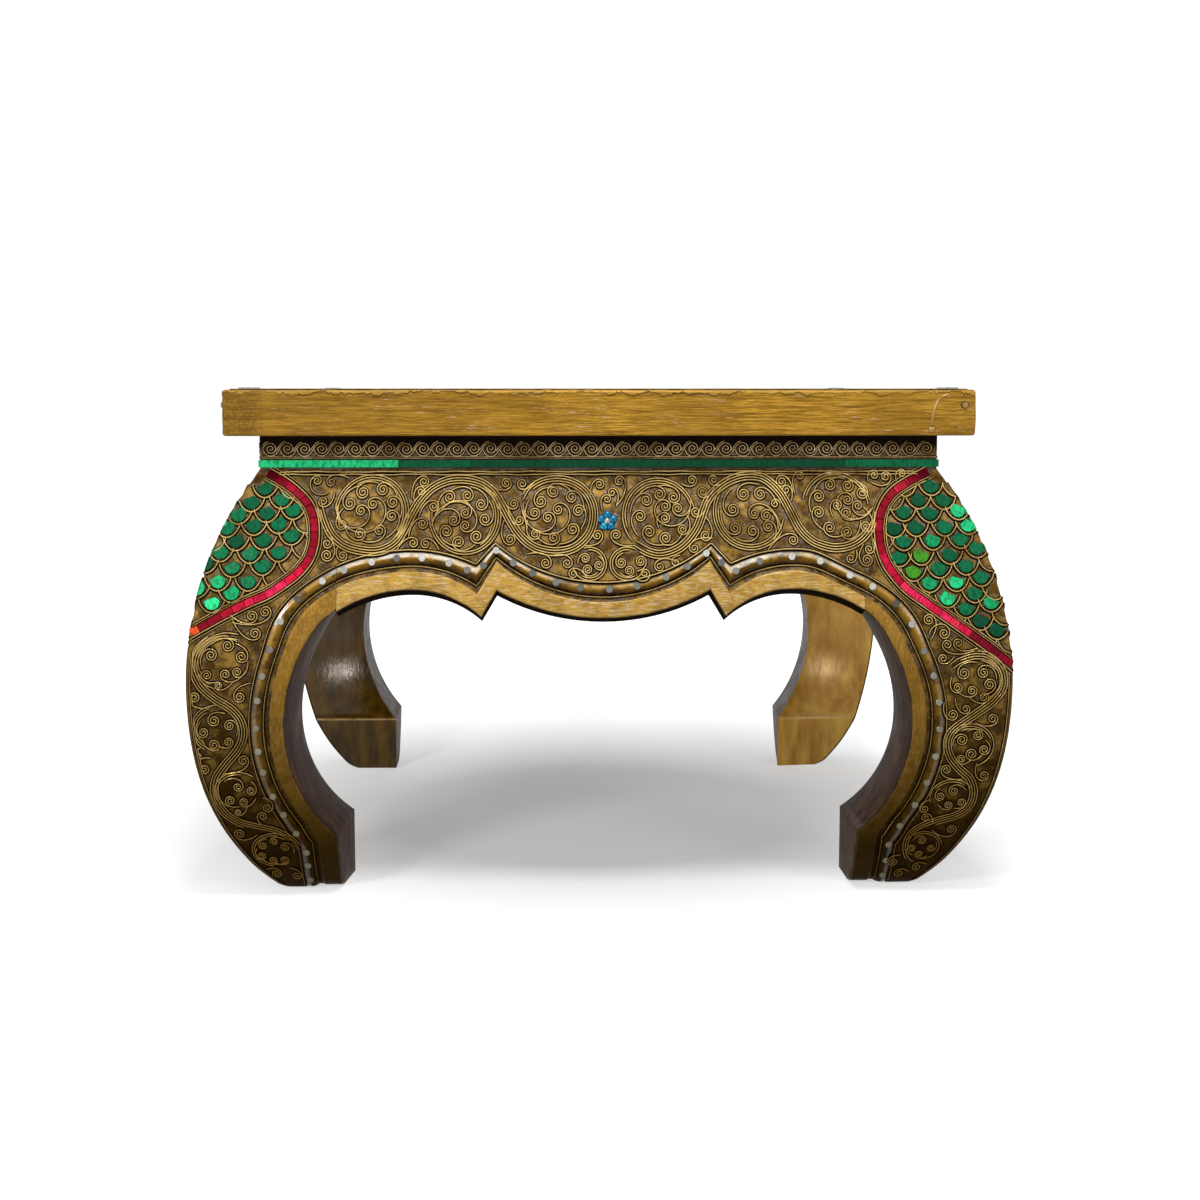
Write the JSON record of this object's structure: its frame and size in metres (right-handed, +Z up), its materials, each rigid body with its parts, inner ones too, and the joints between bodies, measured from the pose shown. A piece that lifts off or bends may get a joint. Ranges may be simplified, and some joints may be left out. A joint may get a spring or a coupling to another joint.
{
  "type": "low table",
  "caption": "Low square table with bowed claw legs, leaning carved aprons, a waisted neck, a thick framed top and mirror inlay.",
  "frame": {"origin": "on the floor under the middle of the table", "axes": "+Z up, -Y towards the front, +X to the right seen from the front"},
  "size_m": [0.6576, 0.6576, 0.4155],
  "materials": {
    "gilt_board": "gold lacquer brushed along the grain, worn, half gloss",
    "gilt_carving": "antique gold lacquer over raised threads, dark in the recesses, half gloss",
    "bare_wood": "dark stained, matt",
    "gilt_nail": "nail head under gold lacquer",
    "green_mirror": "green mirror glass",
    "red_mirror": "crimson mirror glass",
    "blue_mirror": "turquoise mirror glass"
  },
  "bodies": {
    "root": {"top_rail_front": "gilt_board", "rail_nail_front": "gilt_nail", "neck_rail_front": "gilt_carving", "green_strip_front": "green_mirror", "apron_front": "gilt_carving", "tenon_pin_front_right": "bare_wood", "tenon_pin_front_left": "bare_wood", "apron_flower_front": "blue_mirror", "top_rail_right": "gilt_board", "rail_nail_right": "gilt_nail", "neck_rail_right": "gilt_carving", "green_strip_right": "green_mirror", "apron_right": "gilt_carving", "tenon_pin_right_right": "bare_wood", "tenon_pin_right_left": "bare_wood", "apron_flower_right": "blue_mirror", "top_rail_back": "gilt_board", "rail_nail_back": "gilt_nail", "neck_rail_back": "gilt_carving", "green_strip_back": "green_mirror", "apron_back": "gilt_carving", "tenon_pin_back_right": "bare_wood", "tenon_pin_back_left": "bare_wood", "apron_flower_back": "blue_mirror", "top_rail_left": "gilt_board", "rail_nail_left": "gilt_nail", "neck_rail_left": "gilt_carving", "green_strip_left": "green_mirror", "apron_left": "gilt_carving", "tenon_pin_left_right": "bare_wood", "tenon_pin_left_left": "bare_wood", "apron_flower_left": "blue_mirror", "leg_front_right": "gilt_carving", "corner_peg_front_right": "bare_wood", "red_band_front_right": "red_mirror", "scale_panel_front_right": "green_mirror", "top_flower_front_right": "blue_mirror", "leg_back_right": "gilt_carving", "corner_peg_back_right": "bare_wood", "red_band_back_right": "red_mirror", "scale_panel_back_right": "green_mirror", "top_flower_back_right": "blue_mirror", "leg_back_left": "gilt_carving", "corner_peg_back_left": "bare_wood", "red_band_back_left": "red_mirror", "scale_panel_back_left": "green_mirror", "top_flower_back_left": "blue_mirror", "leg_front_left": "gilt_carving", "corner_peg_front_left": "bare_wood", "red_band_front_left": "red_mirror", "scale_panel_front_left": "green_mirror", "top_flower_front_left": "blue_mirror", "top_plank_1": "gilt_board", "top_plank_2": "gilt_board", "top_plank_3": "gilt_board", "batten_left": "bare_wood", "batten_right": "bare_wood"}
  },
  "joints": []
}
